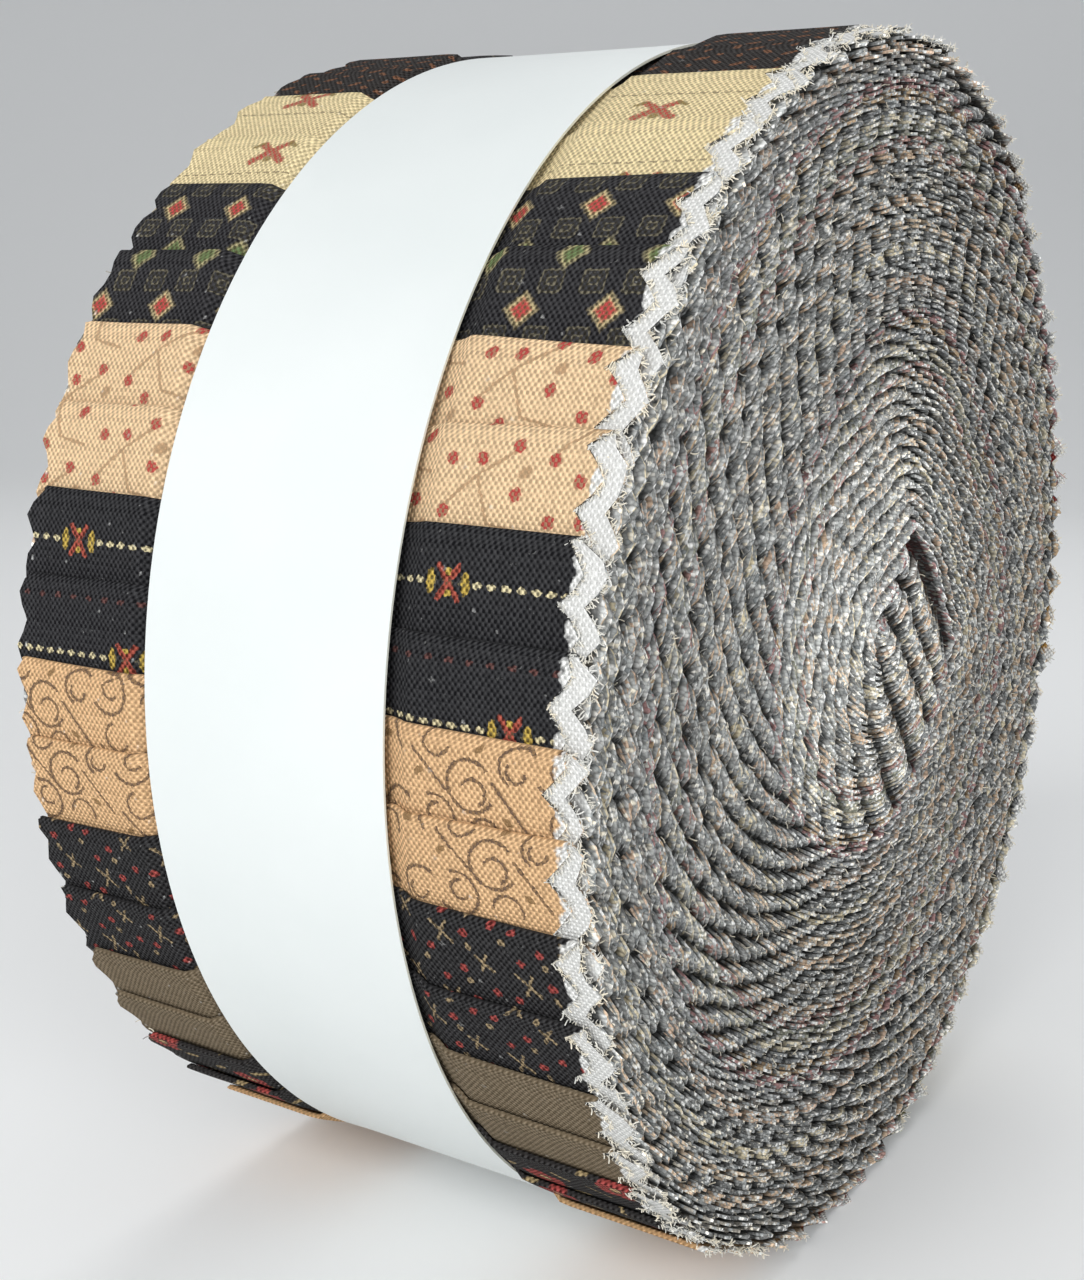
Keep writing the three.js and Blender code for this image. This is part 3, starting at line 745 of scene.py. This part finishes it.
def printed_cotton(slot):
    """The printed side: ground colour and motifs, thinning to white on the right edge's teeth."""
    ground, repeats = PRINTS[slot]

    def paint(tree, cloth, tone):
        colour = linear(ground)
        motifs = put(tree, "UVMap", uv_map="print")
        hold = put(tree, "MapRange", {0: tone, 1: HOLD_FROM, 2: HOLD_TO, 3: HOLD_LEAST, 4: 1.0})
        for size, drop, start, layers in repeats:
            place = put(tree, "Group", node_tree=repeat, inputs={
                "Map": motifs, "Size": (*size, 1), "Start": (*start, 0), "Drop": drop})
            for hue, marks in layers:
                inked = put(tree, "Math MULTIPLY", {0: ink(tree, place, marks), 1: hold})
                colour = put(tree, "MixRGB", {"Fac": inked, "Color1": colour, "Color2": linear(hue)})
        across = put(tree, "SeparateXYZ", {0: cloth})
        worn = put(tree, "MapRange", {0: across.outputs[0], 1: WHITE_FROM * MM, 2: WHITE_TO * MM})
        rough = put(tree, "TexNoise", {"Vector": cloth, "Scale": 1 / (WEAR_SIZE * MM), "Detail": 3.0},
                    noise_dimensions="2D")
        worn = put(tree, "Math ADD", {0: worn, 1: rough.outputs[0]})
        worn = put(tree, "MapRange", {0: worn, 1: WEAR_FROM, 2: WEAR_TO})
        colour = put(tree, "MixRGB", {"Fac": worn, "Color1": colour, "Color2": linear(WHITE_COTTON)})
        return shade_threads(tree, colour, tone)
    return cotton(f"printed_cotton_{slot}", ground, paint)


def paint_wrong_side(tree, cloth, tone):
    return shade_threads(tree, linear(WHITE_COTTON), tone, darkest=0.6, lightest=1.0)


slots = {part["node"]: part["material_slot"] for part in frame["record"]["subparts"]}
wrong_side = cotton("cotton_wrong_side", GREY_COTTON, paint_wrong_side)
finishes = {slot: (printed_cotton(slot), wrong_side,
                   cotton(f"cotton_thread_ends_{slot}", PRINTS[slot][0])) for slot in PRINTS}
cotton_strips = {}
for place_in_stack, index in enumerate(stack_order):
    motif = MOTIF_PLACES.get(index + 1, (index * 7.0 % 9, index * 5.0 % 11))
    strip = bring_in(f"cotton_{strips[index]}", strip_mesh(strips[index], place_in_stack, motif))
    for finish in finishes[slots[strips[index]]]:
        strip.data.materials.append(finish)
    cotton_strips[index] = strip
for index, strip in sorted(cotton_strips.items()):
    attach(strip, "root")
    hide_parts(strips[index], *(["wound_layers"] if index == 0 else []))

# The paper band
# One strip of white coated paper is pulled tight round the middle of the roll and glued to itself
# in a short lap at the back. It bridges the steps between the folds, and its face is left bare.
PAPER, GLUE = 0.25, 0.03
BAND_RADIUS = 65.2  # its inner face, on the pressed folds
LAP_FROM, LAP_TO, LAP_RAMP = 236.0, 250.0, 7.0
BAND_STEP = 1.5  # degrees between stations
BAND_COLUMNS = 15
EDGE_CURL, CURL_SHAPE = 0.12, 6  # how far its cut edges stand off the cloth, how sharply
CURL_EVEN, CURL_WAVES = 0.6, 4  # share that is even all round, and waves in the rest
FIBRES, CLOUDS = 0.9, 22.0  # size of the fibres' texture and of its faint clouds

band_around = np.arange(LAP_FROM, LAP_TO + 360 + BAND_STEP, BAND_STEP)
lapped = ramp((band_around - LAP_FROM - 360 + LAP_RAMP) / LAP_RAMP)
band_across = np.linspace(BAND_LEFT, BAND_RIGHT, BAND_COLUMNS)
band_share = np.linspace(-1, 1, BAND_COLUMNS)
band_points, band_faces, band_sides = [], [], []
for row, angle in enumerate(band_around):
    curl = np.sin(np.radians(angle * CURL_WAVES + 90 * band_share))
    curl = EDGE_CURL * (CURL_EVEN + (1 - CURL_EVEN) * curl) * np.abs(band_share) ** CURL_SHAPE
    radius = BAND_RADIUS + lapped[row] * (PAPER + GLUE) + curl
    for face, columns in ((1, slice(None)), (0, slice(None, None, -1))):
        reach = (radius + face * PAPER)[columns, None] * unit(angle + 90)
        band_points.append(lay(band_across[columns], *reach.T))
ring = 2 * BAND_COLUMNS
for row in range(len(band_around) - 1):
    for column in range(ring):
        here, beside = row * ring + column, row * ring + (column + 1) % ring
        band_faces.append((here, beside, beside + ring, here + ring))
        band_sides.append(int((column + 1) % BAND_COLUMNS == 0))
band_faces.append(tuple(range(ring - 1, -1, -1)))
band_faces.append(tuple(range((len(band_around) - 1) * ring, len(band_around) * ring)))
band_sides += [1, 1]
band = bring_in("paper_band_tie", closed_mesh(
    "paper_band_tie", np.concatenate(band_points), band_faces, band_sides))


def coated_paper(name, colour, roughness, coat):
    """Clay-coated paper: cool white with a faint sheen, its fibres just felt under the coating."""
    material, tree, place = finish_tree(name)
    fibres = put(tree, "TexNoise", {"Vector": place, "Scale": 1 / (FIBRES * MM), "Detail": 4.0})
    clouds = put(tree, "TexNoise", {"Vector": place, "Scale": 1 / (CLOUDS * MM), "Detail": 2.0})
    tint = put(tree, "MixRGB", {
        "Fac": clouds.outputs[0], "Color1": linear(colour), "Color2": linear("#DDE1E0")})
    relief = put(tree, "Bump", {"Height": fibres.outputs[0], "Strength": 0.25, "Distance": 0.03 * MM})
    dull = put(tree, "MapRange", {0: fibres.outputs[0], 3: roughness - 0.06, 4: roughness + 0.06})
    shader = put(tree, "BsdfPrincipled", {
        "Base Color": tint, "Normal": relief, "Roughness": dull, "Coat Weight": coat,
        "Coat Roughness": 0.3})
    put(tree, "OutputMaterial", {"Surface": shader})
    return material


band.data.materials.append(coated_paper("coated_paper_face", "#D0D6D5", 0.45, 0.15))
band.data.materials.append(coated_paper("coated_paper_cut_edge", "#DAD5B4", 0.7, 0.0))
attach(band, "root")
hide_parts("paper_band")

# The frayed threads
# Pinking keeps the cotton from running, but short ends of yarn still stand out along the cut
# edges. They are undyed inside, so they show as a pale fuzz over both wound faces.
YARN_RADIUS, YARN_BEND = 0.055, 0.3
YARN_CLEAR = 1.5  # none grow nearer than this to the floor
YARN_SIDES, YARN_STEPS = 3, 2
YARN_LEAN, YARN_GROWN = (0.9, 0.9, 3.14), (0.4, 1.4)  # the most it leans, in radians; its scale
YARN_PATCH = 1.5  # yarn nearer together than this has one tone
YARNS = {"right": (4000, 0.55, "#8C8E8F"), "left": (2500, 0.55, "#8C8E8F"),
         "rim": (8500, 0.42, "#DCDCD8")}  # how many, how long, and the darker ones' colour

fraying, given = recipe("fraying", {
    "Geometry": "Geometry", "Count for each square metre": "Float", "Length": "Float",
    "Radius": "Float", "Bend": "Float", "Seed": "Int", "Finish": "Material"},
    {"Geometry": "Geometry"}, "GeometryNodeTree")
spots = put(fraying, "GeometryNodeDistributePointsOnFaces", {
    "Mesh": given["Geometry"], "Density": given["Count for each square metre"], "Seed": given["Seed"]})
tip = put(fraying, "CombineXYZ", {"X": given["Bend"], "Z": given["Length"]})
belly = put(fraying, "Math MULTIPLY", {0: given["Length"], 1: 0.5})
belly = put(fraying, "CombineXYZ", {"Z": belly})
yarn = put(fraying, "GeometryNodeCurveQuadraticBezier", {
    "Resolution": YARN_STEPS, "Start": (0.0, 0.0, 0.0), "Middle": belly, "End": tip})
section = put(fraying, "GeometryNodeCurvePrimitiveCircle", {
    "Resolution": YARN_SIDES, "Radius": given["Radius"]})
yarn = put(fraying, "GeometryNodeCurveToMesh", {
    "Curve": yarn, "Profile Curve": section, "Fill Caps": True})
lean = put(fraying, "FunctionNodeRandomValue", {
    0: tuple(-most for most in YARN_LEAN), 1: YARN_LEAN, "Seed": given["Seed"]},
    data_type="FLOAT_VECTOR")
turned = put(fraying, "FunctionNodeRotateRotation", {
    "Rotation": spots.outputs["Rotation"], "Rotate By": lean.outputs["Value"]}, rotation_space="LOCAL")
grown = put(fraying, "FunctionNodeRandomValue", {
    2: YARN_GROWN[0], 3: YARN_GROWN[1], "Seed": given["Seed"]}, data_type="FLOAT")
yarns = put(fraying, "GeometryNodeInstanceOnPoints", {
    "Points": spots.outputs["Points"], "Instance": yarn, "Rotation": turned, "Scale": grown.outputs[1]})
yarns = put(fraying, "GeometryNodeRealizeInstances", {"Geometry": yarns})
yarns = put(fraying, "GeometryNodeSetMaterial", {"Geometry": yarns, "Material": given["Finish"]})
put(fraying, "NodeGroupOutput", {"Geometry": yarns})


def fray(side, count, length, finish):
    """Short yarn ends over the cut edges of one side of the roll, as one plain mesh."""
    corners = np.array(cut_edges[side])
    corners = corners[corners[:, :, 2].min(axis=1) > YARN_CLEAR * MM]
    edges = bpy.data.meshes.new("cut_edges")
    edges.from_pydata(corners.reshape(-1, 3), [], np.arange(corners.size // 3).reshape(-1, 4))
    area = sum(face.area for face in edges.polygons)
    carrier = bring_in("cut_edges", edges)
    modifier = carrier.modifiers.new("fraying", "NODES")
    modifier.node_group = fraying
    values = {"Count for each square metre": count / area, "Length": length * MM,
              "Radius": YARN_RADIUS * MM, "Bend": YARN_BEND * MM, "Seed": 7, "Finish": finish}
    for socket in fraying.interface.items_tree:
        if socket.name in values:
            modifier[socket.identifier] = values[socket.name]
    evaluated = carrier.evaluated_get(bpy.context.evaluated_depsgraph_get())
    mesh = bpy.data.meshes.new_from_object(evaluated)
    bpy.data.objects.remove(carrier)
    yarns = bring_in(f"frayed_threads_{side}", mesh)
    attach(yarns, "root")


def cotton_yarn(name, darker):
    """Undyed cotton yarn, matt and a little uneven in tone from one end to the next."""
    material, tree, place = finish_tree(name)
    tufts = put(tree, "TexVoronoi", {"Vector": place, "Scale": 1 / (YARN_PATCH * MM)})
    pick = put(tree, "SeparateColor", {0: tufts.outputs["Color"]})
    colour = put(tree, "MixRGB", {
        "Fac": pick.outputs[0], "Color1": linear(darker), "Color2": linear(CREAM_COTTON)})
    shader = put(tree, "BsdfPrincipled", {
        "Base Color": colour, "Roughness": 0.9, "Specular IOR Level": 0.12})
    put(tree, "OutputMaterial", {"Surface": shader})
    return material


for side, (count, length, darker) in YARNS.items():
    fray(side, count, length, cotton_yarn(f"undyed_cotton_yarn_{side}", darker))

# The floor and the light
# A sweep of pale matt board that rises behind the roll in one bend, with a large soft light from
# the front, a weaker one from the right for the wound face, and an even pale surround.
SWEEP_FRONT, SWEEP_BEND, SWEEP_HEIGHT, SWEEP_SIDE = 6.0, 0.8, 2.2, 6.0

bend = np.radians(np.arange(0, 91, 6))
sweep_out = np.concatenate(([-SWEEP_FRONT], SWEEP_BEND * (1 + np.sin(bend)), [2 * SWEEP_BEND]))
sweep_up = np.concatenate(([0], SWEEP_BEND * (1 - np.cos(bend)), [SWEEP_HEIGHT]))
behind = Vector((ahead.x, ahead.y, 0)).normalized()
corners = [side * SWEEP_SIDE * level + out * behind + Vector((0, 0, up))
           for out, up in zip(sweep_out.tolist(), sweep_up.tolist()) for side in (-1, 1)]
floor_mesh = bpy.data.meshes.new("floor")
floor_mesh.from_pydata(corners, [], [(row, row + 1, row + 3, row + 2)
                                     for row in range(0, len(corners) - 2, 2)])
floor_mesh.polygons.foreach_set("use_smooth", [True] * len(floor_mesh.polygons))
floor = bring_in("floor", floor_mesh)
floor_finish = bpy.data.materials.new("matt_white_board")
floor_finish.use_nodes = True
board = floor_finish.node_tree.nodes["Principled BSDF"].inputs
board["Base Color"].default_value = linear("#F2F3F3")
board["Roughness"].default_value = 0.9
floor_mesh.materials.append(floor_finish)
for name, place, size, power in (("key", (0.0, -0.9, 0.42), 0.6, 6.4),
                                 ("side", (0.85, -0.5, 0.3), 0.5, 4.2),
                                 ("back", (-0.1, 0.5, 0.8), 0.6, 2.5)):
    light = bring_in(name, bpy.data.lights.new(name, "AREA"))
    light.data.size = size
    light.data.energy = power
    light.location = roll_middle + Vector(place)
    light.rotation_euler = (-Vector(place)).to_track_quat("-Z", "Y").to_euler()
world = bpy.data.worlds.new("surround")
world.use_nodes = True
world.node_tree.nodes["Background"].inputs["Color"].default_value = (0.9, 0.92, 0.95, 1)
world.node_tree.nodes["Background"].inputs["Strength"].default_value = 0.4
bpy.context.scene.world = world
bpy.context.scene.view_settings.view_transform = "Standard"
